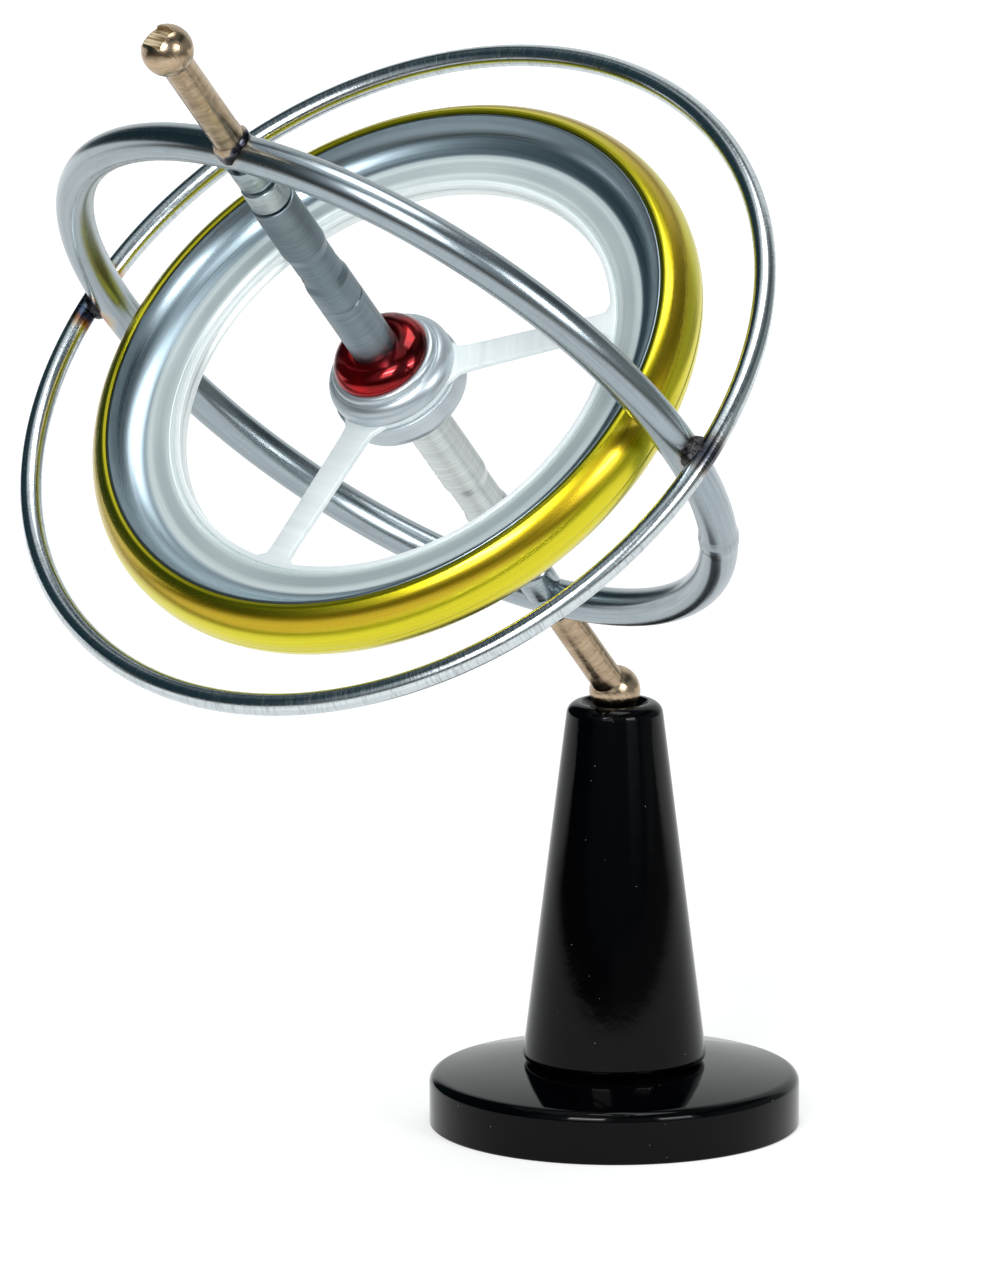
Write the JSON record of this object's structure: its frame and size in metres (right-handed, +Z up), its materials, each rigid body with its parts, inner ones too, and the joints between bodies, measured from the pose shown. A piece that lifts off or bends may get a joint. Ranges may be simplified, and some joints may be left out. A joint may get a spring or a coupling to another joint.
{
  "type": "gyroscope on stand",
  "caption": "Metal gyroscope with a spoked flywheel in two crossed rings, its ball-ended stud leaning in the dished top of a black pedestal.",
  "frame": {"origin": "centre of the pedestal's flat underside", "axes": "+Z up the column, the gyroscope leans towards -X with its axle in the XZ plane"},
  "size_m": [0.0755, 0.0648, 0.0977],
  "materials": {
    "gloss_black": "gloss",
    "ring_steel": "polished",
    "burnt_weld": "scorched",
    "warm_nickel": "satin",
    "bearing_steel": "polished",
    "axle_steel": "satin",
    "satin_aluminium": "satin",
    "hub_red": "gloss",
    "yellow_anodised": "gloss"
  },
  "bodies": {
    "pedestal": {"base_disc": "gloss_black"},
    "column": {"stand_column": "gloss_black"},
    "gyro_frame": {"meridian_ring": "ring_steel", "equator_ring": "ring_steel", "crossing_weld_right": "burnt_weld", "crossing_weld_left": "burnt_weld", "upper_pivot_stud": "warm_nickel", "lower_pivot_stud": "warm_nickel", "upper_stud_weld": "burnt_weld", "lower_stud_weld": "burnt_weld", "upper_bearing_boss": "bearing_steel", "lower_bearing_boss": "bearing_steel", "upper_bearing_cup": "bearing_steel", "lower_bearing_cup": "bearing_steel"},
    "rotor": {"axle": "axle_steel", "hub_body": "satin_aluminium", "hub_collar": "satin_aluminium", "hub_cap": "hub_red", "flywheel": "satin_aluminium", "rim_band": "yellow_anodised"}
  },
  "joints": [
    {"name": "stand_turn", "type": "hinge", "parent": "pedestal", "child": "column", "pos_m": [0, 0, 0.00515], "axis": [0, 0, 1], "continuous": true},
    {"name": "frame_lean", "type": "hinge", "parent": "column", "child": "gyro_frame", "pos_m": [0, 0, 0.03538], "axis": [0, -1, 0], "range_deg": [-44.2, 33]},
    {"name": "rotor_spin", "type": "hinge", "parent": "gyro_frame", "child": "rotor", "pos_m": [-0.02932, 0, 0.06553], "axis": [-0.6972, 0, 0.7169], "continuous": true}
  ]
}
